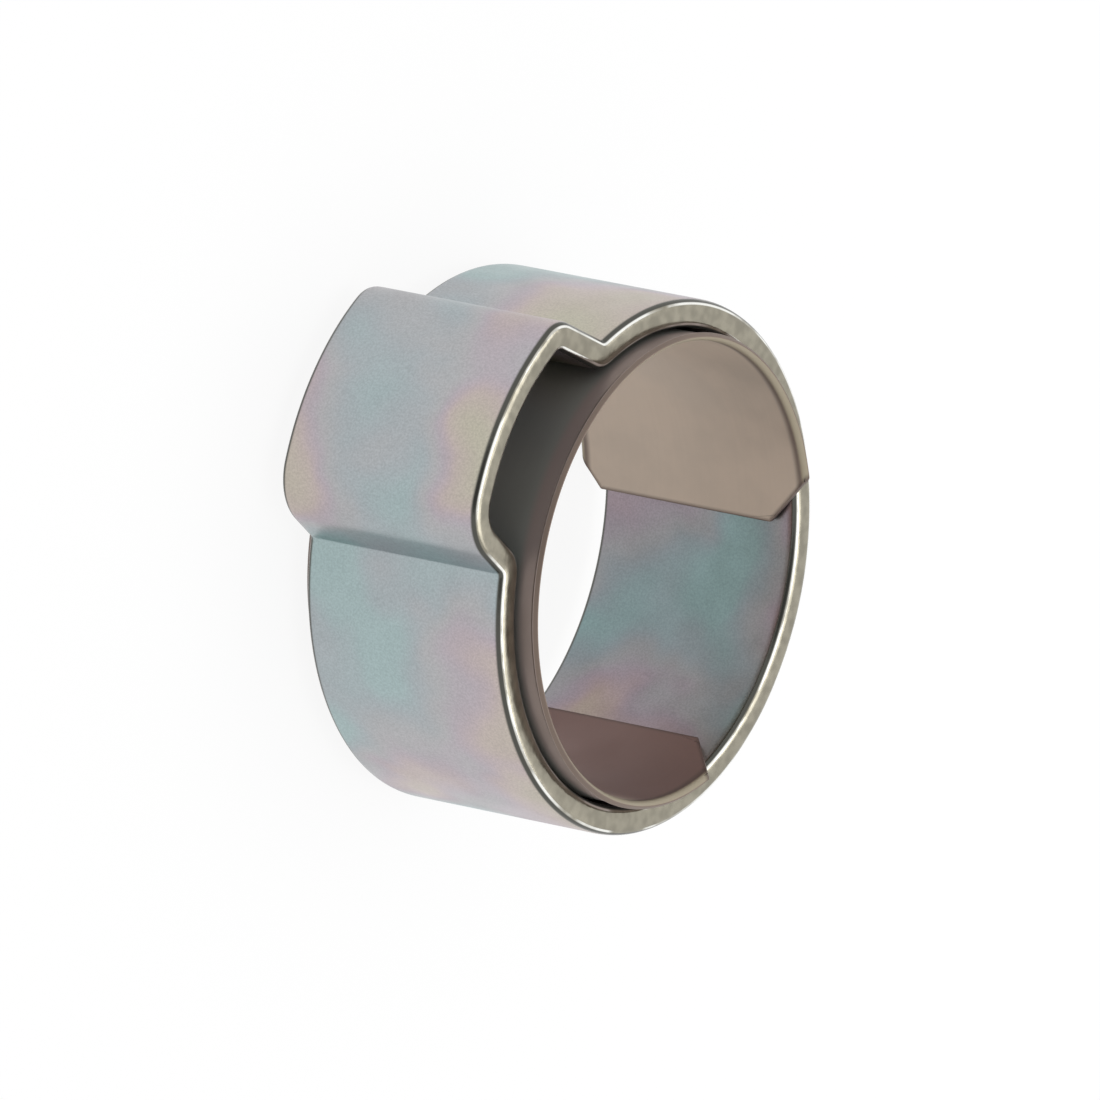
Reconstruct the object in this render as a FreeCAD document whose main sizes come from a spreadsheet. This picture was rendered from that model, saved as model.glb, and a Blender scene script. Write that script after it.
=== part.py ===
"""One-ear hose clamp with an inner liner, in millimetres.

The bore axis is +Z, the origin is the centre of the bore on the mid-plane of the band, and the middle of
the ear points along +X. The side wall of the ear on +Y stands upright under a wide corner, and the one
on -Y leans over under a tighter corner.
"""
import FreeCAD, Part

import math
import os

import Sketcher

# Driving dimensions: alias, value, meaning. Lengths are millimetres and angles are degrees.
SIZES = (
    ("bore_diameter", 15.6, "inside diameter of the liner, where the hose goes"),
    ("liner_sheet", 0.2, "thickness of the liner's strip"),
    ("liner_play", 0.12, "radial gap between the liner and the band"),
    ("band_sheet", 1.0, "thickness of the band and of the ear"),
    ("band_width", 8.0, "width of the band along the bore"),
    ("rim_rounding", 0.28, "radius on the four long edges of the band"),
    ("ear_rise", 2.5, "height of the ear's outer wall over the band, in the middle"),
    ("ear_top_radius", 9.0, "outside radius of the ear's outer wall"),
    ("ear_half_angle", 30.0, "angle from the middle of the ear to the middle of each crease"),
    ("plus_y_wall_lean", 1.0, "lean of the +Y side wall towards the middle of the ear"),
    ("minus_y_wall_lean", 13.0, "lean of the -Y side wall towards the middle of the ear"),
    ("crease_radius", 0.2, "outside radius of the crease at each foot of the ear"),
    ("plus_y_corner_radius", 2.0, "outside radius of the corner over the +Y side wall"),
    ("minus_y_corner_radius", 1.35, "outside radius of the corner over the -Y side wall"),
    ("lip_radius", 1.1, "bend radius of the liner's lips, on the side facing the band"),
    ("lip_angle", 38.0, "angle through which each lip is turned outward"),
    ("lip_stand", 0.6, "height of each lip over the band's rim, on the side facing the band"),
    ("liner_gap_angle", 59.9, "angle left open between the two ends of the liner"),
    ("liner_turn", 8.4, "turn of the liner's gap away from the point opposite the ear"),
    ("upper_chamfer", 1.6, "height of the chamfer on the upper corner of each end of the liner"),
    ("upper_chamfer_run", 1.8, "run of the upper chamfer along the strip"),
    ("lower_chamfer", 0.87, "height of the chamfer on the lower corner of each end of the liner"),
    ("lower_chamfer_run", 1.0, "run of the lower chamfer along the strip"),
)

# Radii and heights that follow from the driving dimensions, as expressions on the sheet.
LINER_OUTER = "(Sizes.bore_diameter / 2 + Sizes.liner_sheet)"
BAND_INNER = "(Sizes.bore_diameter / 2 + Sizes.liner_sheet + Sizes.liner_play)"
BAND_OUTER = "(Sizes.bore_diameter / 2 + Sizes.liner_sheet + Sizes.liner_play + Sizes.band_sheet)"
LIP_EDGE = "(Sizes.band_width / 2 + Sizes.lip_stand)"
LIP_TOP = "(Sizes.band_width / 2 + Sizes.lip_stand + Sizes.liner_sheet * sin(Sizes.lip_angle))"
EAR_TOP_CENTRE = f"({BAND_OUTER} + Sizes.ear_rise - Sizes.ear_top_radius)"

# A chamfer's cutting triangle reaches past the strip by this share of the chamfer on every side.
OVERSHOOT = 0.5

# Sketcher's numbers for the ends and the centre of a curve, and for the sketch's own X axis.
START, END, CENTRE = 1, 2, 3
X_AXIS = -1

# What the sizes call the two sides of the ear and the two corners at an end of the liner.
EAR_SIDES = {1: "plus_y", -1: "minus_y"}
END_CORNERS = {1: "upper", -1: "lower"}

doc = FreeCAD.newDocument("ear_hose_clamp")


def make_sheet():
    """Write the driving dimensions into the document's spreadsheet."""
    cells = doc.addObject("Spreadsheet::Sheet", "Sizes")
    for row, (alias, value, meaning) in enumerate(SIZES, start=1):
        cells.set(f"A{row}", meaning)
        cells.set(f"B{row}", str(value))
        cells.setAlias(f"B{row}", alias)
    doc.recompute()
    return cells


sheet = make_sheet()


def size(alias):
    """Return one driving dimension as a number."""
    return float(getattr(sheet, alias))


def new_body(name):
    """Make a labelled body for one physical piece."""
    body = doc.addObject("PartDesign::Body", name)
    body.Label = name
    return body


def origin_plane(body, role):
    """Return the body's own origin plane of that role."""
    return next(item for item in body.Origin.OriginFeatures if item.Role == role)


def new_sketch(body, name, role):
    """Add a sketch on one of the body's origin planes."""
    sketch = body.newObject("Sketcher::SketchObject", name)
    sketch.AttachmentSupport = (origin_plane(body, role), [""])
    sketch.MapMode = "FlatFace"
    return sketch


def drive(sketch, constraint, expression):
    """Add a constraint and bind its value to the sheet."""
    index = sketch.addConstraint(constraint)
    sketch.setExpression(f"Constraints[{index}]", expression)


def polar(radius, angle):
    """Return the point at that radius and at that angle in degrees."""
    turn = math.radians(angle)
    return FreeCAD.Vector(radius * math.cos(turn), radius * math.sin(turn), 0)


def arc(centre, radius, first, last):
    """Return a circular arc that runs counter-clockwise between two angles in degrees."""
    circle = Part.Circle(centre, FreeCAD.Vector(0, 0, 1), radius)
    return Part.ArcOfCircle(circle, math.radians(first), math.radians(last))


def mirrored(point):
    """Return the point's image below the X axis."""
    return FreeCAD.Vector(point.x, -point.y, 0)


def band_outer():
    """Return the outside radius of the band."""
    return size("bore_diameter") / 2 + size("liner_sheet") + size("liner_play") + size("band_sheet")


def ear_top_centre():
    """Return the centre of the ear's outer wall, on the X axis."""
    return FreeCAD.Vector(band_outer() + size("ear_rise") - size("ear_top_radius"), 0, 0)


def ear_corner(side):
    """Return the centre of the ear's corner on one side, as if that side lay towards +Y.

    The corner touches the ear's outer wall from inside and the side wall that rises from the crease.
    """
    lean = size(f"{EAR_SIDES[side]}_wall_lean")
    corner = size(f"{EAR_SIDES[side]}_corner_radius")
    crease = size("crease_radius")
    crease_centre = polar(band_outer() + crease, size("ear_half_angle"))
    along_wall = polar(1, -lean)
    beside_wall = crease_centre + polar(crease + corner, -90 - lean)
    from_top = beside_wall - ear_top_centre()
    forward = from_top.dot(along_wall)
    corner_distance = size("ear_top_radius") - corner
    reach = math.sqrt(corner_distance ** 2 - from_top.dot(from_top) + forward ** 2) - forward
    return beside_wall + along_wall * reach


def side_curves(depth, side):
    """Return the curves on one side of the ear, by name, for an outline below the sheet's outer face.

    They are the crease at the foot, the side wall and the corner over it. The last value is where the
    corner ends on the ear's outer wall, as an angle about the centre of that wall.
    """
    name = EAR_SIDES[side]
    half = size("ear_half_angle")
    lean = size(f"{name}_wall_lean")
    crease = size("crease_radius") + depth
    corner = size(f"{name}_corner_radius") - depth
    crease_centre = polar(band_outer() + size("crease_radius"), half)
    corner_centre = ear_corner(side)
    from_top = corner_centre - ear_top_centre()
    corner_end = math.degrees(math.atan2(from_top.y, from_top.x))
    foot = crease_centre + polar(crease, -90 - lean)
    head = corner_centre + polar(corner, 90 - lean)
    if side == 1:
        curves = {
            f"{name}_crease": arc(crease_centre, crease, 180 + half, 270 - lean),
            f"{name}_wall": Part.LineSegment(head, foot),
            f"{name}_corner": arc(corner_centre, corner, corner_end, 90 - lean),
        }
        return curves, corner_end
    curves = {
        f"{name}_crease": arc(mirrored(crease_centre), crease, 90 + lean, 180 - half),
        f"{name}_wall": Part.LineSegment(mirrored(foot), mirrored(head)),
        f"{name}_corner": arc(mirrored(corner_centre), corner, lean - 90, -corner_end),
    }
    return curves, -corner_end


def draw_sheet_outline(sketch, depth):
    """Draw the clamp ring's closed outline at a depth below the sheet's outer face.

    Return the number of each curve in the sketch, by name. Outlines at different depths share their
    centres, so the sheet is equally thick all round.
    """
    half = size("ear_half_angle")
    minus_y, first_angle = side_curves(depth, -1)
    plus_y, last_angle = side_curves(depth, 1)
    curves = {
        "ring": arc(FreeCAD.Vector(), band_outer() - depth, half, 360 - half),
        "top": arc(ear_top_centre(), size("ear_top_radius") - depth, first_angle, last_angle),
        **minus_y,
        **plus_y,
    }
    outline = {name: sketch.addGeometry(curve, False) for name, curve in curves.items()}
    for first, first_end, second, second_end in (
        ("ring", END, "minus_y_crease", END),
        ("minus_y_crease", START, "minus_y_wall", START),
        ("minus_y_wall", END, "minus_y_corner", START),
        ("minus_y_corner", END, "top", START),
        ("top", END, "plus_y_corner", START),
        ("plus_y_corner", END, "plus_y_wall", START),
        ("plus_y_wall", END, "plus_y_crease", END),
        ("plus_y_crease", START, "ring", START),
    ):
        sketch.addConstraint(
            Sketcher.Constraint("Tangent", outline[first], first_end, outline[second], second_end)
        )
    sketch.addConstraint(Sketcher.Constraint("Coincident", outline["ring"], CENTRE, X_AXIS, START))
    return outline


def draw_band_profile(sketch):
    """Draw and constrain the outer and the inner outline of the clamp ring's sheet."""
    outer = draw_sheet_outline(sketch, 0)
    inner = draw_sheet_outline(sketch, size("band_sheet"))
    for shared in ("top", "minus_y_crease", "minus_y_corner", "plus_y_crease", "plus_y_corner"):
        sketch.addConstraint(
            Sketcher.Constraint("Coincident", outer[shared], CENTRE, inner[shared], CENTRE)
        )
    top = outer["top"]
    sketch.addConstraint(Sketcher.Constraint("PointOnObject", top, CENTRE, X_AXIS))
    apart = sketch.Geometry[top].Center.x
    drive(sketch, Sketcher.Constraint("DistanceX", X_AXIS, START, top, CENTRE, apart), EAR_TOP_CENTRE)
    for curve, radius in (
        (outer["ring"], BAND_OUTER),
        (inner["ring"], BAND_INNER),
        (outer["top"], "Sizes.ear_top_radius"),
        (inner["top"], "Sizes.ear_top_radius - Sizes.band_sheet"),
        (outer["minus_y_crease"], "Sizes.crease_radius"),
        (outer["plus_y_crease"], "Sizes.crease_radius"),
        (outer["minus_y_corner"], "Sizes.minus_y_corner_radius"),
        (outer["plus_y_corner"], "Sizes.plus_y_corner_radius"),
    ):
        now = sketch.Geometry[curve].Radius
        drive(sketch, Sketcher.Constraint("Radius", curve, now), radius)
    for side, name in EAR_SIDES.items():
        crease = outer[f"{name}_crease"]
        centre = sketch.Geometry[crease].Center
        ray = sketch.addGeometry(Part.LineSegment(FreeCAD.Vector(), centre), True)
        sketch.addConstraint(Sketcher.Constraint("Coincident", ray, START, X_AXIS, START))
        sketch.addConstraint(Sketcher.Constraint("Coincident", ray, END, crease, CENTRE))
        turn = math.radians(side * size("ear_half_angle"))
        drive(sketch, Sketcher.Constraint("Angle", ray, turn), f"{side} * Sizes.ear_half_angle")
    lean = math.radians(size("minus_y_wall_lean"))
    wall = outer["minus_y_wall"]
    drive(sketch, Sketcher.Constraint("Angle", wall, lean), "Sizes.minus_y_wall_lean")
    lean = math.radians(size("plus_y_wall_lean"))
    wall = outer["plus_y_wall"]
    drive(sketch, Sketcher.Constraint("Angle", wall, math.pi - lean), "180 - Sizes.plus_y_wall_lean")


def edges_at_heights(shape, heights):
    """Return the names of the shape's edges that lie flat at one of the heights."""
    names = []
    for number, edge in enumerate(shape.Edges, start=1):
        box = edge.BoundBox
        if any(abs(box.ZMin - z) < 1e-4 and abs(box.ZMax - z) < 1e-4 for z in heights):
            names.append(f"Edge{number}")
    return names


def make_clamp_ring():
    """Build the band and its ear: one endless piece of bent sheet with rounded rims."""
    body = new_body("clamp_ring")
    profile = new_sketch(body, "BandProfile", "XY_Plane")
    draw_band_profile(profile)
    pad = body.newObject("PartDesign::Pad", "Band")
    pad.Profile = profile
    pad.Midplane = True
    pad.setExpression("Length", "Sizes.band_width")
    doc.recompute()
    rounding = body.newObject("PartDesign::Fillet", "RimRounding")
    rim = size("band_width") / 2
    rounding.Base = (pad, edges_at_heights(pad.Shape, (-rim, rim)))
    rounding.setExpression("Radius", "Sizes.rim_rounding")
    doc.recompute()
    return body


def draw_strip_section(sketch):
    """Draw the liner's section in the plane of the bore axis: a straight strip with a lip at each end."""
    face = size("bore_diameter") / 2 + size("liner_sheet")
    thick = size("liner_sheet")
    bend = size("lip_radius")
    turn = size("lip_angle")
    bend_height = size("band_width") / 2 + size("lip_stand") - bend * math.sin(math.radians(turn))
    upper = FreeCAD.Vector(face + bend, bend_height, 0)
    lower = mirrored(upper)
    low_foot = FreeCAD.Vector(face, -bend_height, 0)
    high_foot = mirrored(low_foot)
    wall = FreeCAD.Vector(thick, 0, 0)
    curves = (
        Part.LineSegment(low_foot, high_foot),
        arc(upper, bend, 180 - turn, 180),
        Part.LineSegment(upper + polar(bend, 180 - turn), upper + polar(bend + thick, 180 - turn)),
        arc(upper, bend + thick, 180 - turn, 180),
        Part.LineSegment(high_foot - wall, low_foot - wall),
        arc(lower, bend + thick, 180, 180 + turn),
        Part.LineSegment(lower + polar(bend, 180 + turn), lower + polar(bend + thick, 180 + turn)),
        arc(lower, bend, 180, 180 + turn),
    )
    outline = [sketch.addGeometry(curve, False) for curve in curves]
    face_line, lip_up, edge_up, back_up, back_line, back_low, edge_low, lip_low = outline
    for first, first_end, second, second_end in (
        (face_line, END, lip_up, END),
        (back_line, START, back_up, END),
        (back_line, END, back_low, START),
        (face_line, START, lip_low, START),
    ):
        sketch.addConstraint(Sketcher.Constraint("Tangent", first, first_end, second, second_end))
    for first, first_end, second, second_end in (
        (lip_up, START, edge_up, START),
        (edge_up, END, back_up, START),
        (back_low, END, edge_low, END),
        (edge_low, START, lip_low, END),
        (lip_up, CENTRE, back_up, CENTRE),
        (lip_low, CENTRE, back_low, CENTRE),
    ):
        sketch.addConstraint(Sketcher.Constraint("Coincident", first, first_end, second, second_end))
    sketch.addConstraint(Sketcher.Constraint("Symmetric", face_line, START, face_line, END, X_AXIS))
    for lip, edge in ((lip_up, edge_up), (lip_low, edge_low)):
        sketch.addConstraint(Sketcher.Constraint("PointOnObject", lip, CENTRE, edge))
    for curve, radius in (
        (lip_up, "Sizes.lip_radius"),
        (lip_low, "Sizes.lip_radius"),
        (back_up, "Sizes.lip_radius + Sizes.liner_sheet"),
        (back_low, "Sizes.lip_radius + Sizes.liner_sheet"),
    ):
        drive(sketch, Sketcher.Constraint("Radius", curve, sketch.Geometry[curve].Radius), radius)
    for edge, side in ((edge_up, 1), (edge_low, -1)):
        angle = math.radians(side * (180 - turn))
        drive(sketch, Sketcher.Constraint("Angle", edge, angle), f"{side} * (180 - Sizes.lip_angle)")
    reach = sketch.Geometry[face_line].StartPoint.x
    drive(sketch, Sketcher.Constraint("DistanceX", X_AXIS, START, face_line, START, reach), LINER_OUTER)
    height = sketch.Geometry[edge_up].StartPoint.y
    drive(sketch, Sketcher.Constraint("DistanceY", X_AXIS, START, edge_up, START, height), LIP_EDGE)


def draw_corner_cut(sketch, side):
    """Draw the triangle that cuts one corner off the strip's end.

    The sketch looks outward from the bore axis at the end, with the strip on its left. Side is +1 for the
    upper corner and -1 for the lower one.
    """
    corner = END_CORNERS[side]
    rise = size(f"{corner}_chamfer")
    run = size(f"{corner}_chamfer_run")
    top = size("band_width") / 2 + size("lip_stand")
    top += size("liner_sheet") * math.sin(math.radians(size("lip_angle")))
    past_end = run * OVERSHOOT
    past_lip = top + rise * OVERSHOOT
    square = FreeCAD.Vector(past_end, side * past_lip, 0)
    under = FreeCAD.Vector(past_end, side * (past_lip - rise * (1 + 2 * OVERSHOOT)), 0)
    along = FreeCAD.Vector(past_end - run * (1 + 2 * OVERSHOOT), side * past_lip, 0)
    level = sketch.addGeometry(Part.LineSegment(along, square), False)
    upright = sketch.addGeometry(Part.LineSegment(square, under), False)
    slant = sketch.addGeometry(Part.LineSegment(under, along), False)
    for first, second in ((level, upright), (upright, slant), (slant, level)):
        sketch.addConstraint(Sketcher.Constraint("Coincident", first, END, second, START))
    sketch.addConstraint(Sketcher.Constraint("Horizontal", level))
    sketch.addConstraint(Sketcher.Constraint("Vertical", upright))
    drive(
        sketch,
        Sketcher.Constraint("DistanceX", level, START, level, END, run),
        f"Sizes.{corner}_chamfer_run * {1 + 2 * OVERSHOOT}",
    )
    drive(
        sketch,
        Sketcher.Constraint("DistanceX", X_AXIS, START, level, END, past_end),
        f"Sizes.{corner}_chamfer_run * {OVERSHOOT}",
    )
    lower, higher = ((upright, END), (upright, START))[::side]
    drive(
        sketch,
        Sketcher.Constraint("DistanceY", *lower, *higher, rise),
        f"Sizes.{corner}_chamfer * {1 + 2 * OVERSHOOT}",
    )
    drive(
        sketch,
        Sketcher.Constraint("DistanceY", X_AXIS, START, upright, START, side * past_lip),
        f"{side} * ({LIP_TOP} + Sizes.{corner}_chamfer * {OVERSHOOT})",
    )


def make_inner_liner():
    """Build the liner: a lipped strip bent into a C, with chamfered corners at both ends."""
    body = new_body("inner_liner")
    body.setExpression("Placement.Rotation.Angle", "Sizes.liner_turn")
    section = new_sketch(body, "StripSection", "XZ_Plane")
    draw_strip_section(section)
    strip = body.newObject("PartDesign::Revolution", "Strip")
    strip.Profile = section
    strip.ReferenceAxis = (section, ["V_Axis"])
    strip.Midplane = True
    strip.setExpression("Angle", "360 - Sizes.liner_gap_angle")
    corners = new_sketch(body, "EndCorners", "YZ_Plane")
    corners.AttachmentOffset = FreeCAD.Placement(
        FreeCAD.Vector(), FreeCAD.Rotation(FreeCAD.Vector(0, 1, 0), 180 - size("liner_gap_angle") / 2)
    )
    corners.setExpression("AttachmentOffset.Rotation.Angle", "180 - Sizes.liner_gap_angle / 2")
    for side in (1, -1):
        draw_corner_cut(corners, side)
    doc.recompute()
    cut = body.newObject("PartDesign::Pocket", "EndChamfers")
    cut.Profile = corners
    cut.Type = "ThroughAll"
    cut.Reversed = True
    doc.recompute()
    both_ends = body.newObject("PartDesign::Mirrored", "BothEnds")
    both_ends.Originals = [cut]
    both_ends.MirrorPlane = (origin_plane(body, "XZ_Plane"), [""])
    body.Tip = both_ends
    doc.recompute()
    return body


def check(bodies):
    """Stop with a plain message if any object failed or any piece is not one valid solid."""
    for item in doc.Objects:
        if "Invalid" in item.State or "Error" in item.State:
            raise RuntimeError(f"{item.Name} did not compute: {item.State}")
    for body in bodies:
        shape = body.Shape
        if shape.isNull() or not shape.isValid() or len(shape.Solids) != 1:
            raise RuntimeError(f"{body.Label} is not one valid solid")


def main():
    """Build both pieces, check them and write one file for each."""
    bodies = (make_clamp_ring(), make_inner_liner())
    doc.recompute()
    check(bodies)
    os.makedirs("parts", exist_ok=True)
    for body in bodies:
        body.Shape.exportStep(f"parts/{body.Label}.step")
        box = body.Shape.BoundBox
        print(
            f"{body.Label}: volume {body.Shape.Volume:.3f} mm3, "
            f"{box.XLength:.3f} x {box.YLength:.3f} x {box.ZLength:.3f} mm"
        )


main()
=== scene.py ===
"""Dress the ear hose clamp and set it in its studio.

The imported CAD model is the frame. The plated clamp ring and the stainless liner are each modelled again
with rounded rims and broken edges, given their metal finishes, and stand for the CAD solids. Lengths are
in millimetres and angles in degrees, and both are converted where they meet Blender.
"""
import logging
import math
from collections.abc import Callable
from dataclasses import dataclass, field
from enum import Enum

import bmesh
import bpy
from mathutils import Matrix, Vector


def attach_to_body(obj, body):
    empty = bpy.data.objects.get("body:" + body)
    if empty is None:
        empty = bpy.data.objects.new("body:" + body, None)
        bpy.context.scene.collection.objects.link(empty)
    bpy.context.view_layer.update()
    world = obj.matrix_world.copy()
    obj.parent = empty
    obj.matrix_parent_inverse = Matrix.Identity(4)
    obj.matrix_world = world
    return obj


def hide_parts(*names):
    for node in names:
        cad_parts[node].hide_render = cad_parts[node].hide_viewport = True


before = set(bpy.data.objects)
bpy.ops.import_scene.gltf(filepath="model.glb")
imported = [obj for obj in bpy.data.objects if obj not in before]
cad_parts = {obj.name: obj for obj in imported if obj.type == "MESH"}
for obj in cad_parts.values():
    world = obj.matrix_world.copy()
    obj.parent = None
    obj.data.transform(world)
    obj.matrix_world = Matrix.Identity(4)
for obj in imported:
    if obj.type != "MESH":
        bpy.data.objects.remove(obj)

LOG = logging.getLogger("ear_hose_clamp")

MM = 0.001
MERGE_DISTANCE = 0.002 * MM
Z_AXIS = Vector((0.0, 0.0, 1.0))
BYTE = 255.0
FACING_EDGE = 0.002
EVEN_WEIGHT = 100

Scalar = float | bpy.types.NodeSocket
Colour = tuple[float, float, float, float]


def polar(radius: float, azimuth: float, height: float = 0.0) -> Vector:
    """Return a point given in millimetres and degrees about the bore axis.

    Args:
        radius: Distance from the axis, in millimetres.
        azimuth: Angle from +X towards +Y, in degrees.
        height: Distance along the axis, in millimetres.

    Returns:
        The point, in metres.
    """
    turn = math.radians(azimuth)
    return Vector((radius * math.cos(turn), radius * math.sin(turn), height)) * MM


def linear(red: float, green: float, blue: float) -> Colour:
    """Convert a display colour into the linear colour that a shader reads.

    Args:
        red: Red, from 0 to 255.
        green: Green, from 0 to 255.
        blue: Blue, from 0 to 255.

    Returns:
        The linear colour with full opacity.
    """
    toe, slope, offset, power = 0.04045, 12.92, 0.055, 2.4
    shares = [value / BYTE for value in (red, green, blue)]
    curve = [s / slope if s <= toe else ((s + offset) / (1 + offset)) ** power for s in shares]
    return (*curve, 1.0)


class Rim(Enum):
    """The two rims of the clamp, by the side of the mid-plane that they lie on."""

    UPPER = 1
    LOWER = -1


class LinerEnd(Enum):
    """The two ends of the liner, by the way that the strip runs on past them."""

    FIRST = -1
    LAST = 1


class Tint(Enum):
    """Colours of the passivated zinc and of the stainless, from 0 to 255."""

    TEAL = (165, 185, 185)
    BLUE_GREY = (170, 175, 180)
    GREY = (180, 180, 180)
    LILAC = (180, 170, 180)
    PINK = (195, 180, 175)
    STRAW = (185, 185, 165)
    BURNISHED = (155, 150, 135)
    # Painted highlight: the bright line painted on the rims' roundings.
    POLISHED = (245, 245, 240)
    # Painted dark reflection: the dark line painted along the rims' outer roundings.
    RIM_EDGE = (85, 85, 80)
    TAUPE = (205, 190, 175)
    # Painted shade: the liner's outer face under the band, darker and greyer.
    OUTSIDE_GREY = (150, 150, 145)
    LIP_BROWN = (160, 145, 140)
    LIP_TAN = (165, 155, 135)
    # Painted dark reflection on the edge faces of the liner's lips.
    LIP_EDGE = (120, 105, 95)
    # Painted shade: the brown darkening along the liner's cut ends and in its creases.
    CUT_BROWN = (95, 80, 75)
    # Painted shade: the liner's inner face darkens to this brown towards its last end.
    SMOKED_BROWN = (130, 105, 100)

    @property
    def colour(self) -> Colour:
        """The tint as a linear colour."""
        return linear(*self.value)


class Bench:
    """Edit-mode work on one mesh piece: it picks elements by place and runs the modelling operators."""

    def __init__(self, name: str, centre: Vector, rotation: tuple[float, float, float],
                 width: float, height: float) -> None:
        """Start a piece from a flat rectangle and enter edit mode.

        Args:
            name: Name of the new piece.
            centre: Centre of the rectangle, in metres.
            rotation: Turn of the rectangle about X, Y and Z, in radians.
            width: Width of the rectangle, in millimetres.
            height: Height of the rectangle, in millimetres.
        """
        bpy.ops.object.select_all(action="DESELECT")
        bpy.ops.mesh.primitive_plane_add(size=1.0, location=centre, rotation=rotation)
        self.piece: bpy.types.Object = bpy.context.object
        self.piece.name = name
        self.piece.data.name = name
        self.piece.scale = (width * MM, height * MM, 1.0)
        bpy.ops.object.transform_apply(location=True, rotation=True, scale=True)
        bpy.ops.object.mode_set(mode="EDIT")

    @property
    def mesh(self) -> bmesh.types.BMesh:
        """The mesh under edit."""
        return bmesh.from_edit_mesh(self.piece.data)

    def pick_all(self) -> None:
        """Select every vertex, edge and face."""
        bpy.ops.mesh.select_all(action="SELECT")

    def pick_points(self, wanted: Callable[[Vector], bool]) -> int:
        """Select the vertices at wanted places, with the edges and faces between them.

        Args:
            wanted: Says whether the point, in metres, is picked.

        Returns:
            How many vertices are selected.
        """
        bpy.ops.mesh.select_all(action="DESELECT")
        bpy.ops.mesh.select_mode(type="VERT")
        mesh = self.mesh
        picked = 0
        for vertex in mesh.verts:
            vertex.select = wanted(vertex.co)
            picked += vertex.select
        mesh.select_flush(True)
        bmesh.update_edit_mesh(self.piece.data)
        return picked

    def pick_edges(self, wanted: Callable[[bmesh.types.BMEdge], bool]) -> int:
        """Select the wanted edges.

        Args:
            wanted: Says whether the edge is picked.

        Returns:
            How many edges are selected.
        """
        bpy.ops.mesh.select_mode(type="EDGE")
        bpy.ops.mesh.select_all(action="DESELECT")
        mesh = self.mesh
        picked = 0
        for edge in mesh.edges:
            if wanted(edge):
                edge.select_set(True)
                picked += 1
        bmesh.update_edit_mesh(self.piece.data)
        return picked

    def sweep(self, turn: float, steps: int, centre: Vector, axis: Vector = Z_AXIS) -> None:
        """Spin the selection, turning right-handed about an axis.

        Args:
            turn: Angle of the whole sweep, in degrees.
            steps: Number of facets in the sweep.
            centre: A point on the axis, in metres.
            axis: Direction of the axis.
        """
        bpy.ops.mesh.spin(steps=steps, angle=-math.radians(turn), center=centre, axis=axis)

    def draw_out(self, way: Vector, steps: int) -> None:
        """Extrude the selection along a straight line.

        Args:
            way: The whole move, in metres.
            steps: Number of equal lengths in the move.
        """
        for _ in range(steps):
            bpy.ops.mesh.extrude_region_move(TRANSFORM_OT_translate={"value": way / steps})

    def keep_outline(self) -> None:
        """Turn the flat section into its bare outline, selected and ready for sweeping."""
        self.pick_all()
        bpy.ops.mesh.dissolve_faces()
        self.pick_all()
        bpy.ops.mesh.delete(type="ONLY_FACE")
        self.pick_all()

    def cut_off(self, where: Vector, outward: Vector, near: Callable[[Vector], bool]) -> None:
        """Cut away what lies beyond a plane and close the cut.

        Args:
            where: A point on the plane, in metres.
            outward: Normal of the plane, towards what goes.
            near: Says which points take part.
        """
        self.pick_points(near)
        bpy.ops.mesh.bisect(plane_co=where, plane_no=outward, use_fill=True, clear_outer=True,
                            threshold=MERGE_DISTANCE / 10)

    def close_up(self) -> None:
        """Merge doubles and point every face outwards."""
        self.pick_all()
        bpy.ops.mesh.remove_doubles(threshold=MERGE_DISTANCE)
        self.pick_all()
        bpy.ops.mesh.normals_make_consistent(inside=False)

    def leave(self, smooth_below: float) -> bpy.types.Object:
        """Leave edit mode and shade the piece.

        Args:
            smooth_below: Edges that bend less than this many degrees are shaded smooth.

        Returns:
            The finished piece.
        """
        bpy.ops.object.mode_set(mode="OBJECT")
        bpy.ops.object.shade_smooth_by_angle(angle=math.radians(smooth_below))
        return self.piece

    def even_shading(self) -> None:
        """Let the large faces lead the shading, so that flats look flat beside their roundings."""
        self.finish_with("WEIGHTED_NORMAL", "even_shading", weight=EVEN_WEIGHT, keep_sharp=True)

    def finish_with(self, kind: str, name: str, **settings: object) -> None:
        """Add a modifier to the piece and apply it.

        Args:
            kind: Blender's type of modifier.
            name: Name of the modifier.
            settings: Values of the modifier's properties.
        """
        modifier = self.piece.modifiers.new(name, kind)
        for key, value in settings.items():
            setattr(modifier, key, value)
        bpy.ops.object.modifier_apply(modifier=modifier.name)


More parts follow.
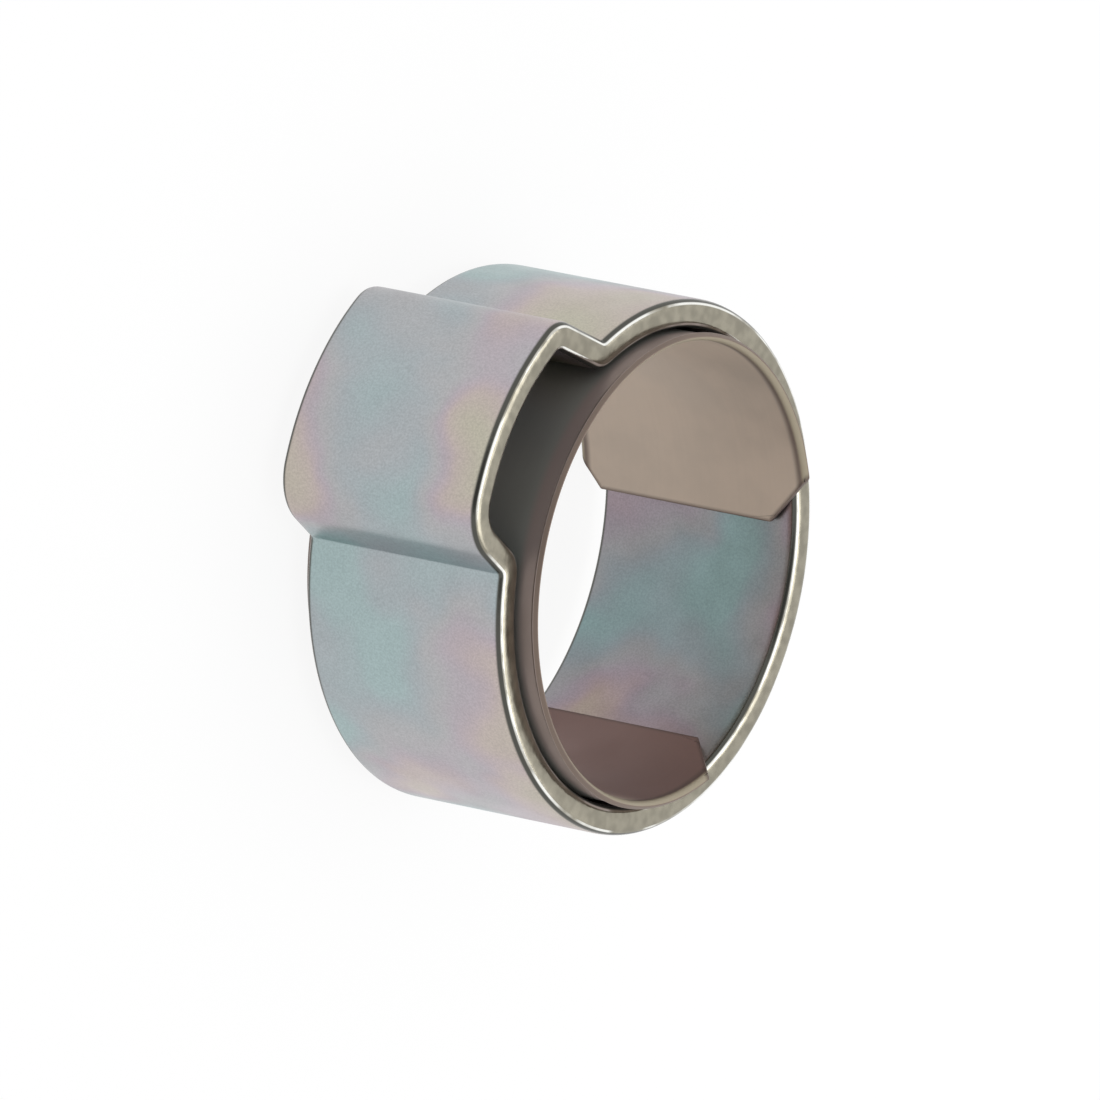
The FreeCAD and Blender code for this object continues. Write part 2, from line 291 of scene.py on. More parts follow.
class Graph:
    """A node tree with one call for each kind of node that the finishes and the studio share."""

    def __init__(self, tree: bpy.types.NodeTree) -> None:
        """Empty the tree.

        Args:
            tree: The node tree of a material or of the world.
        """
        self.tree = tree
        tree.nodes.clear()

    def add(self, kind: str, **settings: object) -> bpy.types.Node:
        """Add a node.

        Args:
            kind: Blender's name for the node's type.
            settings: Values of the node's own properties.

        Returns:
            The new node.
        """
        node = self.tree.nodes.new(kind)
        for key, value in settings.items():
            setattr(node, key, value)
        return node

    def feed(self, socket: bpy.types.NodeSocket, value: object) -> None:
        """Link a socket into an input, or set the input to a constant.

        Args:
            socket: The input.
            value: A node's output, or a number, colour or vector.
        """
        if isinstance(value, bpy.types.NodeSocket):
            self.tree.links.new(value, socket)
        else:
            socket.default_value = value

    def place(self) -> bpy.types.NodeSocket:
        """Return the piece's own coordinates, in metres."""
        return self.add("ShaderNodeTexCoord").outputs["Object"]

    def moved(self, where: bpy.types.NodeSocket, centre: Vector = Vector(), turn: float = 0.0,
              reach: tuple[float, float, float] = (1.0, 1.0, 1.0)) -> bpy.types.NodeSocket:
        """Return coordinates measured from another centre, in other units.

        Args:
            where: The coordinates to change.
            centre: The new origin, in metres.
            turn: Turn of the new axes about Z, in degrees.
            reach: Length of one new unit along each axis, in metres.

        Returns:
            The new coordinates.
        """
        node = self.add("ShaderNodeMapping", vector_type="TEXTURE")
        self.feed(node.inputs["Vector"], where)
        node.inputs["Location"].default_value = centre
        node.inputs["Rotation"].default_value = (0.0, 0.0, math.radians(turn))
        node.inputs["Scale"].default_value = reach
        return node.outputs["Vector"]

    def noise(self, where: bpy.types.NodeSocket, grain: float, detail: float = 2.0,
              distortion: float = 0.0, output: str = "Fac") -> bpy.types.NodeSocket:
        """Return a cloudy noise.

        Args:
            where: Coordinates in metres.
            grain: Size of a cloud, in millimetres.
            detail: Octaves of finer noise.
            distortion: How far the clouds are bent.
            output: "Fac" for one value or "Color" for three.

        Returns:
            The noise, about 0.5.
        """
        node = self.add("ShaderNodeTexNoise")
        self.feed(node.inputs["Vector"], where)
        node.inputs["Scale"].default_value = 1.0 / (grain * MM)
        node.inputs["Detail"].default_value = detail
        node.inputs["Distortion"].default_value = distortion
        return node.outputs[output]

    def ranged(self, value: bpy.types.NodeSocket, low: float, high: float, first: float = 0.0,
               last: float = 1.0) -> bpy.types.NodeSocket:
        """Ease a value from one range into another.

        Args:
            value: The value to change.
            low: Value at which the ease begins.
            high: Value at which the ease ends.
            first: Result at and below the low value.
            last: Result at and above the high value.

        Returns:
            The eased value.
        """
        node = self.add("ShaderNodeMapRange", interpolation_type="SMOOTHSTEP", clamp=True)
        self.feed(node.inputs["Value"], value)
        for name, number in (("From Min", low), ("From Max", high), ("To Min", first), ("To Max", last)):
            node.inputs[name].default_value = number
        return node.outputs["Result"]

    def calculate(self, operation: str, first: Scalar, second: Scalar = 0.0) -> bpy.types.NodeSocket:
        """Combine two numbers.

        Args:
            operation: Blender's name for the operation.
            first: First number.
            second: Second number.

        Returns:
            The result.
        """
        node = self.add("ShaderNodeMath", operation=operation)
        self.feed(node.inputs[0], first)
        self.feed(node.inputs[1], second)
        return node.outputs["Value"]

    def blend(self, share: Scalar, under: Colour | bpy.types.NodeSocket, over: Colour | bpy.types.NodeSocket,
              mode: str = "MIX") -> bpy.types.NodeSocket:
        """Lay one colour over another.

        Args:
            share: Share of the upper colour.
            under: The lower colour.
            over: The upper colour.
            mode: Blender's name for the way of mixing.

        Returns:
            The mixed colour.
        """
        node = self.add("ShaderNodeMix", data_type="RGBA", blend_type=mode)
        factor, _, _, _, _, _, first, second = node.inputs[:8]
        self.feed(factor, share)
        self.feed(first, under)
        self.feed(second, over)
        return node.outputs[2]

    def shade(self, colour: object, share: bpy.types.NodeSocket) -> bpy.types.NodeSocket:
        """Make a colour lighter or darker.

        Args:
            colour: The colour, as a node's output or three numbers.
            share: What it is multiplied by.

        Returns:
            The new colour.
        """
        node = self.add("ShaderNodeVectorMath", operation="SCALE")
        self.feed(node.inputs[0], colour)
        self.feed(node.inputs["Scale"], share)
        return node.outputs["Vector"]

    def off_centre(self, vector: bpy.types.NodeSocket) -> bpy.types.NodeSocket:
        """Return how far a vector reaches along the bore axis, either way.

        Args:
            vector: The vector.

        Returns:
            The size of its part along Z.
        """
        split = self.add("ShaderNodeSeparateXYZ")
        self.feed(split.inputs["Vector"], vector)
        return self.calculate("ABSOLUTE", split.outputs["Z"])

    def along(self, vector: bpy.types.NodeSocket, way: object) -> bpy.types.NodeSocket:
        """Measure a vector along another.

        Args:
            vector: The vector to measure.
            way: The other vector, as a node's output or three numbers.

        Returns:
            Their dot product.
        """
        node = self.add("ShaderNodeVectorMath", operation="DOT_PRODUCT")
        self.feed(node.inputs[0], vector)
        self.feed(node.inputs[1], way)
        return node.outputs["Value"]

    def normal(self) -> bpy.types.NodeSocket:
        """Return the piece's own normal."""
        return self.add("ShaderNodeTexCoord").outputs["Normal"]

    def outward(self, normal: bpy.types.NodeSocket, where: bpy.types.NodeSocket) -> bpy.types.NodeSocket:
        """Tell the face away from the bore axis from the one towards it.

        Args:
            normal: Normal of the surface.
            where: Coordinates in metres.

        Returns:
            1 on the outer face and 0 on the inner one.
        """
        return self.ranged(self.along(normal, where), -FACING_EDGE, FACING_EDGE)

    def bump(self, height: bpy.types.NodeSocket, depth: float, strength: float,
             under: bpy.types.NodeSocket | None = None) -> bpy.types.NodeSocket:
        """Return a normal that shows fine relief.

        Args:
            height: Relief, from 0 to 1.
            depth: Height of the relief, in millimetres.
            strength: Share of the relief that shows.
            under: Normal that the relief is added to, if not the bare surface's.

        Returns:
            The bumped normal.
        """
        node = self.add("ShaderNodeBump")
        node.inputs["Strength"].default_value = strength
        node.inputs["Distance"].default_value = depth * MM
        self.feed(node.inputs["Height"], height)
        if under is not None:
            self.feed(node.inputs["Normal"], under)
        return node.outputs["Normal"]

    def metal(self, colour: bpy.types.NodeSocket, roughness: Scalar, normal: bpy.types.NodeSocket,
              bareness: float = 1.0) -> None:
        """Finish the tree as metal.

        Args:
            colour: Colour of the reflections.
            roughness: Roughness of the surface.
            normal: Normal with the fine relief.
            bareness: 1 for bare metal, less for metal under a thin matt oxide.
        """
        shader = self.add("ShaderNodeBsdfPrincipled")
        shader.inputs["Metallic"].default_value = bareness
        self.feed(shader.inputs["Base Color"], colour)
        self.feed(shader.inputs["Roughness"], roughness)
        self.feed(shader.inputs["Normal"], normal)
        output = self.add("ShaderNodeOutputMaterial")
        self.feed(output.inputs["Surface"], shader.outputs["BSDF"])


@dataclass(frozen=True)
class Mottle:
    """A cloudy variation: its noise, and the results where the noise is low and where it is high."""

    grain: float
    detail: float
    low: float = 0.3
    high: float = 0.7
    first: float = 0.0
    last: float = 1.0

    def noise(self, graph: Graph, where: bpy.types.NodeSocket) -> bpy.types.NodeSocket:
        """Return the bare noise at the given coordinates."""
        return graph.noise(where, self.grain, self.detail)

    def eased(self, graph: Graph, noise: bpy.types.NodeSocket) -> bpy.types.NodeSocket:
        """Return the variation that a noise gives."""
        return graph.ranged(noise, self.low, self.high, self.first, self.last)

    def value(self, graph: Graph, where: bpy.types.NodeSocket) -> bpy.types.NodeSocket:
        """Return the variation at the given coordinates."""
        return self.eased(graph, self.noise(graph, where))


def start_material(name: str) -> tuple[bpy.types.Material, Graph]:
    """Start an empty material.

    Args:
        name: Name of the material.

    Returns:
        The material and its node tree.
    """
    made = bpy.data.materials.new(name)
    made.use_nodes = True
    return made, Graph(made.node_tree)


@dataclass(frozen=True)
class PlatedZinc:
    """Zinc plating with an iridescent passivation: soft tints, a fine grain and rippled rims, with painted
    shade on the inner face and a painted highlight and painted dark reflection on the rims.
    """

    drift: Mottle = Mottle(3.5, 2.0)
    drift_reach: float = 2.4
    clouds: Mottle = Mottle(5.5, 1.0)
    cloud_stops: tuple[tuple[float, Tint], ...] = (
        (0.34, Tint.TEAL), (0.42, Tint.BLUE_GREY), (0.48, Tint.GREY), (0.54, Tint.LILAC),
        (0.62, Tint.PINK), (0.78, Tint.STRAW),
    )
    # Gamma that darkens the tints on the inner face: painted shade.
    inner_face_shade: float = 1.5
    speckle: Mottle = Mottle(0.07, 3.0, 0.25, 0.75, 0.9, 1.1)
    speckle_depth: float = 0.004
    edge_tilt: tuple[float, float] = (0.15, 0.4)
    # Tilts at which the painted dark reflection on the rim rounding gives way to the painted highlight.
    highlight_tilt: tuple[float, float] = (0.74, 0.86)
    # Tilts at which the painted highlight gives way to the mottled flat.
    rim_tilt: tuple[float, float] = (0.93, 0.96)
    rim_mottling: Mottle = Mottle(0.5, 1.0, 0.3, 0.7, 0.8, 1.05)
    # Where the painted highlight stays and where it breaks off.
    highlight_patches: Mottle = Mottle(2.2, 3.0, 0.35, 0.55)
    satin: Mottle = Mottle(1.6, 3.0, 0.3, 0.7, 0.31, 0.41)
    rim_smoothing: float = -0.16
    ripple: Mottle = Mottle(0.4, 2.0)
    ripple_depth: float = 0.03
    relief: float = 0.35

    def wandering(self, graph: Graph, place: bpy.types.NodeSocket) -> bpy.types.NodeSocket:
        """Bend the coordinates, so that the clouds have no regular outline.

        Args:
            graph: The finish's node tree.
            place: Coordinates in metres.

        Returns:
            The bent coordinates.
        """
        bent = graph.add("ShaderNodeVectorMath", operation="MULTIPLY_ADD")
        graph.feed(bent.inputs[0], graph.noise(place, self.drift.grain, self.drift.detail, output="Color"))
        bent.inputs[1].default_value = (self.drift_reach * MM,) * 3
        graph.feed(bent.inputs[2], place)
        centred = graph.add("ShaderNodeVectorMath", operation="ADD")
        graph.feed(centred.inputs[0], bent.outputs["Vector"])
        centred.inputs[1].default_value = (-self.drift_reach / 2 * MM,) * 3
        return centred.outputs["Vector"]

    def passivation(self, graph: Graph, place: bpy.types.NodeSocket,
                    outer: bpy.types.NodeSocket) -> bpy.types.NodeSocket:
        """Colour the sheet with interference tints, darkened on the inner face as painted shade.

        Args:
            graph: The finish's node tree.
            place: Coordinates in metres.
            outer: 1 on the outer face and 0 on the inner one.

        Returns:
            The colour of the plated sheet.
        """
        ramp = graph.add("ShaderNodeValToRGB")
        ramp.color_ramp.interpolation = "B_SPLINE"
        for _ in self.cloud_stops[2:]:
            ramp.color_ramp.elements.new(0.5)
        for element, (spot, tint) in zip(ramp.color_ramp.elements, self.cloud_stops):
            element.position = spot
            element.color = tint.colour
        graph.feed(ramp.inputs["Fac"], self.clouds.noise(graph, self.wandering(graph, place)))
        colour = ramp.outputs["Color"]
        # Painted shade: the inner face gets the same tints, darker.
        shaded_inside = graph.add("ShaderNodeGamma")
        shaded_inside.inputs["Gamma"].default_value = self.inner_face_shade
        graph.feed(shaded_inside.inputs["Color"], colour)
        return graph.blend(outer, shaded_inside.outputs["Color"], colour)

    def rim_colour(self, graph: Graph, place: bpy.types.NodeSocket,
                   tilt: bpy.types.NodeSocket) -> bpy.types.NodeSocket:
        """Colour the rims: a painted dark reflection along the edge, a painted highlight on the rounding
        that breaks off here and there, and a mottled flat.

        Args:
            graph: The finish's node tree.
            place: Coordinates in metres.
            tilt: How far the surface faces along the bore axis, from 0 to 1.

        Returns:
            The colour of the rims.
        """
        flat = graph.shade(Tint.BURNISHED.colour[:3], self.rim_mottling.value(graph, place))
        # Painted highlight on the rounding, broken here and there by a cloudy noise.
        highlighted = graph.blend(self.highlight_patches.value(graph, place), flat, Tint.POLISHED.colour)
        top = graph.blend(graph.ranged(tilt, *self.rim_tilt), highlighted, flat)
        # Painted dark reflection along the edge, below the painted highlight.
        return graph.blend(graph.ranged(tilt, *self.highlight_tilt), Tint.RIM_EDGE.colour, top)

    def material(self) -> bpy.types.Material:
        """Build the finish.

        Returns:
            The material.
        """
        made, graph = start_material("plated_zinc")
        place = graph.place()
        normal = graph.normal()
        grain = self.speckle.noise(graph, place)
        sheet = self.passivation(graph, place, graph.outward(normal, place))
        sheet = graph.shade(sheet, self.speckle.eased(graph, grain))
        tilt = graph.off_centre(normal)
        rim = graph.ranged(tilt, *self.edge_tilt)
        colour = graph.blend(rim, sheet, self.rim_colour(graph, place, tilt))
        smoother = graph.calculate("MULTIPLY", rim, self.rim_smoothing)
        roughness = graph.calculate("ADD", self.satin.value(graph, place), smoother)
        ripples = graph.calculate("MULTIPLY", self.ripple.noise(graph, place), rim)
        fine = graph.bump(grain, self.speckle_depth, self.relief)
        graph.metal(colour, roughness, graph.bump(ripples, self.ripple_depth, self.relief, fine))
        return made


@dataclass(frozen=True)
class CutEdge:
    """A cut across the strip, along which a painted shadow darkens the metal brown."""

    where: Vector
    outward: Vector
    end: Vector
    reach: float = 0.17
    end_zone: tuple[float, float] = (7.0, 7.3)

    def edge_shadow(self, graph: Graph, where: bpy.types.NodeSocket) -> bpy.types.NodeSocket:
        """Return how dark the painted shadow along the cut is, from 0 to 1.

        Args:
            graph: The finish's node tree.
            where: Coordinates in metres.

        Returns:
            The share of painted shadow, which fades away from the cut.
        """
        depth = graph.along(graph.moved(where, self.where), self.outward)
        line = graph.ranged(graph.calculate("ABSOLUTE", depth), 0.0, self.reach * MM, 1.0, 0.0)
        low, high = (distance * MM for distance in self.end_zone)
        near_end = graph.ranged(graph.along(where, self.end), low, high)
        return graph.calculate("MULTIPLY", line, near_end)


@dataclass(frozen=True)
class RolledStainless:
    """Stainless strip under a thin oxide: cloudy taupe inside, with painted shade that makes it a darker
    grey outside, brown in the creases and along the cut ends and darker brown towards one end, and a painted
    dark reflection along the lips' edges.
    """

    cuts: tuple[CutEdge, ...] = ()
    # How dark the painted shadow along the cut ends is.
    cut_shadow_strength: float = 0.8
    clouds: Mottle = Mottle(3.0, 4.0, 0.35, 0.65, 0.88, 1.0)
    # Painted shade towards the liner's last end: its direction, and where the darkening begins and ends.
    shaded_end: Vector = field(default_factory=Vector)
    shaded_zone: tuple[float, float] = (5.0, 6.4)
    crease_heights: tuple[float, float, float] = (4.2, 4.46, 4.58)
    # How dark the painted shade in the creases is.
    crease_shade_strength: float = 0.75
    lip_heights: tuple[float, float] = (3.7, 4.1)
    # Tilts over which the painted dark reflection covers the lips' edges.
    edge_tilt: tuple[float, float] = (0.3, 0.5)
    streaks: Mottle = Mottle(0.15, 2.0, 0.3, 0.7, 0.993, 1.007)
    streak_length: float = 30.0
    satin: tuple[float, float, float, float] = (0.3, 0.7, 0.44, 0.53)
    bareness: float = 0.55
    grain: Mottle = Mottle(0.06, 3.0)
    grain_depth: float = 0.003
    relief: float = 0.3

    def inner_face(self, graph: Graph, place: bpy.types.NodeSocket, off_centre: bpy.types.NodeSocket,
                   clouds: bpy.types.NodeSocket) -> bpy.types.NodeSocket:
        """Colour the inner face, with painted shade darkening it brown in the crease under each lip.

        Args:
            graph: The finish's node tree.
            place: Coordinates in metres.
            off_centre: Distance from the mid-plane.
            clouds: The strip's cloudy noise.

        Returns:
            The colour.
        """
        colour = graph.shade(Tint.TAUPE.colour[:3], self.clouds.eased(graph, clouds))
        # Painted shade: darker brown towards the liner's last end.
        bare, shaded = (distance * MM for distance in self.shaded_zone)
        end_shade = graph.ranged(graph.along(place, self.shaded_end), bare, shaded)
        colour = graph.blend(end_shade, colour, Tint.SMOKED_BROWN.colour)
        sheet, crease, lip = (height * MM for height in self.crease_heights)
        # Painted shade: brown darkening in the crease under each lip.
        crease_shade = graph.ranged(off_centre, sheet, crease, 0.0, self.crease_shade_strength)
        colour = graph.blend(crease_shade, colour, Tint.CUT_BROWN.colour)
        return graph.blend(graph.ranged(off_centre, crease, lip), colour, Tint.LIP_TAN.colour)

    def outer_face(self, graph: Graph, off_centre: bpy.types.NodeSocket,
                   normal: bpy.types.NodeSocket) -> bpy.types.NodeSocket:
        """Colour the outer face: a darker grey under the band as painted shade, brown on the lips, and a
        painted dark reflection along their edges.

        Args:
            graph: The finish's node tree.
            off_centre: Distance from the mid-plane.
            normal: Normal of the surface.

        Returns:
            The colour.
        """
        low, high = (height * MM for height in self.lip_heights)
        lip = graph.ranged(off_centre, low, high)
        # Painted shade: the outer face below the lips is a darker grey.
        colour = graph.blend(lip, Tint.OUTSIDE_GREY.colour, Tint.LIP_BROWN.colour)
        # Painted dark reflection along the lips' edges.
        edge = graph.ranged(graph.off_centre(normal), *self.edge_tilt)
        return graph.blend(edge, colour, Tint.LIP_EDGE.colour)

    def cut_edge_shadow(self, graph: Graph, place: bpy.types.NodeSocket) -> bpy.types.NodeSocket:
        """Return how dark the painted shadow along the cut edges is, from 0 to 1."""
        brown = 0.0
        for edge in self.cuts:
            brown = graph.calculate("MAXIMUM", brown, edge.edge_shadow(graph, place))
        return graph.calculate("MULTIPLY", brown, self.cut_shadow_strength)

    def material(self) -> bpy.types.Material:
        """Build the finish.

        Returns:
            The material.
        """
        made, graph = start_material("rolled_stainless")
        place = graph.place()
        normal = graph.normal()
        off_centre = graph.off_centre(place)
        clouds = self.clouds.noise(graph, place)
        inside = self.inner_face(graph, place, off_centre, clouds)
        outside = self.outer_face(graph, off_centre, normal)
        colour = graph.blend(graph.outward(normal, place), inside, outside)
        # Painted shadow along the cut ends.
        colour = graph.blend(self.cut_edge_shadow(graph, place), colour, Tint.CUT_BROWN.colour)
        drawn = graph.moved(place, reach=(self.streak_length, self.streak_length, 1.0))
        colour = graph.shade(colour, self.streaks.value(graph, drawn))
        relief = graph.bump(self.grain.noise(graph, place), self.grain_depth, self.relief)
        graph.metal(colour, graph.ranged(clouds, *self.satin), relief, self.bareness)
        return made


@dataclass
class ClampRing:
    """The plated band and its ear: one endless piece of bent sheet with rounded rims."""

    outer_radius: float = 9.119
    sheet: float = 0.999
    width: float = 8.0
    rim_rounding: float = 0.45
    rim_fullness: float = 0.66
    rim_facets: int = 12
    face_cuts: int = 7
    ear_rise: float = 2.494
    ear_top_radius: float = 9.0
    ear_half_angle: float = 30.0
    crease_radius: float = 0.2
    lean_plus_y: float = 1.0
    lean_minus_y: float = 13.0
    corner_plus_y: float = 2.0
    corner_minus_y: float = 1.35
    facet: float = 1.5
    bend_facet: float = 4.0
    wall_cuts: int = 3
    smooth_below: float = 60.0
    finish: PlatedZinc = field(default_factory=PlatedZinc)

    @property
    def top_centre(self) -> Vector:
        """Centre of the ear's outer wall, on the X axis."""
        return Vector((self.outer_radius + self.ear_rise - self.ear_top_radius, 0.0, 0.0)) * MM

    def crease_centre(self, side: int) -> Vector:
        """Return the centre of the crease at one foot of the ear.

        Args:
            side: 1 for the foot on +Y, -1 for the one on -Y.
        """
        return polar(self.outer_radius + self.crease_radius, side * self.ear_half_angle)

    def corner_centre(self, side: int) -> Vector:
        """Find the centre of a corner that touches its side wall and, from inside, the outer wall.

        Args:
            side: 1 for the corner on +Y, -1 for the one on -Y.

        Returns:
            The centre, in metres.
        """
        lean, corner = self.lean_and_corner(side)
        along_wall = polar(1.0, -side * lean) / MM
        off_wall = polar(self.crease_radius + corner, -side * (90 + lean))
        beside_wall = self.crease_centre(side) + off_wall
        from_top = beside_wall - self.top_centre
        forward = from_top.dot(along_wall)
        apart = (self.ear_top_radius - corner) * MM
        reach = math.sqrt(apart ** 2 - from_top.length_squared + forward ** 2) - forward
        return beside_wall + along_wall * reach

    def lean_and_corner(self, side: int) -> tuple[float, float]:
        """Return the lean of one side wall and the radius of the corner over it.

        Args:
            side: 1 for +Y, -1 for -Y.
        """
        if side > 0:
            return self.lean_plus_y, self.corner_plus_y
        return self.lean_minus_y, self.corner_minus_y

    def wall_length(self, side: int) -> float:
        """Return the straight length of one side wall, in metres.

        Args:
            side: 1 for the wall on +Y, -1 for the one on -Y.
        """
        lean, corner = self.lean_and_corner(side)
        off_wall = polar(self.crease_radius + corner, -side * (90 + lean))
        return (self.corner_centre(side) - self.crease_centre(side) - off_wall).length

    def draw_section(self) -> Bench:
        """Draw the outline of the sheet's section at the ear's foot on +Y.

        Returns:
            The bench, with the outline selected.
        """
        azimuth = self.ear_half_angle
        bench = Bench(
            "plated_clamp_ring", polar(self.outer_radius - self.sheet / 2, azimuth),
            (math.pi / 2, 0.0, math.radians(azimuth)), self.sheet, self.width,
        )
        bench.pick_all()
        bpy.ops.mesh.bevel(
            offset=self.rim_rounding * MM, segments=self.rim_facets, affect="VERTICES",
            profile=self.rim_fullness,
        )
        bench.pick_edges(lambda edge: edge.calc_length() > self.width * MM / 2)
        bpy.ops.mesh.subdivide(number_cuts=self.face_cuts)
        bench.keep_outline()
        return bench

    def bend_sheet(self, bench: Bench) -> None:
        """Carry the section round the ring and over the ear, back to where it began.

        Args:
            bench: The bench with the section's outline selected.
        """
        half = self.ear_half_angle
        ring = 2 * (180 - half)
        bench.sweep(ring, round(ring / self.facet), Vector())
        heading = 90 - half
        turned_in = heading - self.lean_minus_y
        bench.sweep(-turned_in, round(turned_in / self.bend_facet), self.crease_centre(-1))
        bench.draw_out(polar(self.wall_length(-1) / MM, self.lean_minus_y), self.wall_cuts)
        ends = []
        for side in (-1, 1):
            spoke = self.corner_centre(side) - self.top_centre
            ends.append(math.degrees(math.atan2(spoke.y, spoke.x)))
        first, last = ends
        corner = first + 90 - self.lean_minus_y
        bench.sweep(corner, round(corner / self.bend_facet), self.corner_centre(-1))
        bench.sweep(last - first, round((last - first) / self.facet), self.top_centre)
        corner = 180 - self.lean_plus_y - (last + 90)
        bench.sweep(corner, round(corner / self.bend_facet), self.corner_centre(1))
        bench.draw_out(polar(self.wall_length(1) / MM, 180 - self.lean_plus_y), self.wall_cuts)
        turned_in = heading - self.lean_plus_y
        bench.sweep(-turned_in, round(turned_in / self.bend_facet), self.crease_centre(1))

    def build(self) -> bpy.types.Object:
        """Model and dress the clamp ring.

        Returns:
            The finished piece.
        """
        bench = self.draw_section()
        self.bend_sheet(bench)
        bench.close_up()
        piece = bench.leave(self.smooth_below)
        bench.even_shading()
        piece.data.materials.append(self.finish.material())
        return piece


@dataclass
class InnerLiner:
    """The stainless liner: a lipped strip bent into a C, with chamfered corners at both ends."""

    bore_radius: float = 7.8
    sheet: float = 0.2
    lip_radius: float = 0.12
    lip_angle: float = 52.0
    lip_flange: float = 0.07
    lip_top: float = 4.734
    lip_facets: int = 8
    face_cuts: int = 7
    gap_angle: float = 59.9
    gap_middle: float = 188.4
    spare: float = 1.2
    facet: float = 1.5
    edge_break: float = 0.03
    edge_facets: int = 2
    broken_above: float = 35.0
    smooth_before_break: float = 30.0
    smooth_below: float = 60.0
    end_zone: float = 25.0
    chamfers: dict[Rim, tuple[float, float]] = field(
        default_factory=lambda: {Rim.UPPER: (1.6, 1.8), Rim.LOWER: (0.87, 1.0)}
    )

    @property
    def bend_height(self) -> float:
        """Height at which the strip starts to turn outward."""
        turn = math.radians(self.lip_angle)
        bent = (self.lip_radius + self.sheet) * math.sin(turn)
        return self.lip_top - bent - self.lip_flange * math.cos(turn)

    def end_azimuth(self, end: LinerEnd) -> float:
        """Return the azimuth of one end of the strip.

        Args:
            end: The end.
        """
        return self.gap_middle - end.value * self.gap_angle / 2

    def draw_section(self) -> Bench:
        """Draw the outline of the strip's section just past its first end.

        Returns:
            The bench, with the outline selected.
        """
        azimuth = self.end_azimuth(LinerEnd.FIRST) - self.spare
        radius = self.bore_radius + self.sheet / 2
        bench = Bench(
            "stainless_inner_liner", polar(radius, azimuth),
            (math.pi / 2, 0.0, math.radians(azimuth)), self.sheet, 2 * self.bend_height,
        )
        bench.pick_edges(lambda edge: edge.calc_length() > self.bend_height * MM)
        bpy.ops.mesh.subdivide(number_cuts=self.face_cuts)
        tangent = polar(1.0, azimuth + 90) / MM
        near = self.sheet * MM / 10
        for rim in Rim:
            height = rim.value * self.bend_height
            bench.pick_points(lambda point, z=height * MM: abs(point.z - z) < near)
            centre = polar(self.bore_radius + self.sheet + self.lip_radius, azimuth, height)
            bench.sweep(rim.value * self.lip_angle, self.lip_facets, centre, tangent)
            turn = math.radians(self.lip_angle)
            rise = Z_AXIS * rim.value * math.cos(turn)
            bench.draw_out((rise + polar(1.0, azimuth) / MM * math.sin(turn)) * self.lip_flange * MM, 1)
        bench.keep_outline()
        return bench

    def cuts(self, end: LinerEnd) -> tuple[CutEdge, ...]:
        """Return the cuts that shape one end of the strip: one square across, and one off each corner.

        Args:
            end: The end.

        Returns:
            The cuts.
        """
        azimuth = self.end_azimuth(end)
        radial = polar(1.0, azimuth) / MM
        outward = end.value * polar(1.0, azimuth + 90) / MM
        foot = radial * self.bore_radius * MM
        made = [CutEdge(foot, outward, radial)]
        for rim, (rise, run) in self.chamfers.items():
            towards_rim = Z_AXIS * rim.value
            corner = foot + towards_rim * (self.lip_top - rise) * MM
            made.append(CutEdge(corner, (outward * rise + towards_rim * run).normalized(), radial))
        return tuple(made)

    def trim_end(self, bench: Bench, end: LinerEnd) -> None:
        """Cut one end of the strip square and take its two corners off.

        Args:
            bench: The bench with the strip.
            end: The end to trim.
        """
        radial = polar(1.0, self.end_azimuth(end)) / MM
        near = math.cos(math.radians(self.end_zone))

        def at_end(point: Vector) -> bool:
            """Say whether the point lies near this end."""
            flat = Vector((point.x, point.y, 0.0))
            return flat.normalized().dot(radial) > near

        for cut in self.cuts(end):
            bench.cut_off(cut.where, cut.outward, at_end)

    def build(self) -> bpy.types.Object:
        """Model and dress the liner.

        Returns:
            The finished piece.
        """
        bench = self.draw_section()
        turn = 360 - self.gap_angle + 2 * self.spare
        bench.sweep(turn, round(turn / self.facet), Vector())
        for end in LinerEnd:
            self.trim_end(bench, end)
        bench.close_up()
        piece = bench.leave(self.smooth_before_break)
        bench.finish_with(
            "BEVEL", "broken_edges", width=self.edge_break * MM, segments=self.edge_facets,
            limit_method="ANGLE", angle_limit=math.radians(self.broken_above), use_clamp_overlap=False,
        )
        bpy.ops.object.shade_smooth_by_angle(angle=math.radians(self.smooth_below))
        bench.even_shading()
        finish = RolledStainless(
            cuts=tuple(cut for end in LinerEnd for cut in self.cuts(end)),
            shaded_end=polar(1.0, self.end_azimuth(LinerEnd.LAST)) / MM,
        )
        piece.data.materials.append(finish.material())
        return piece


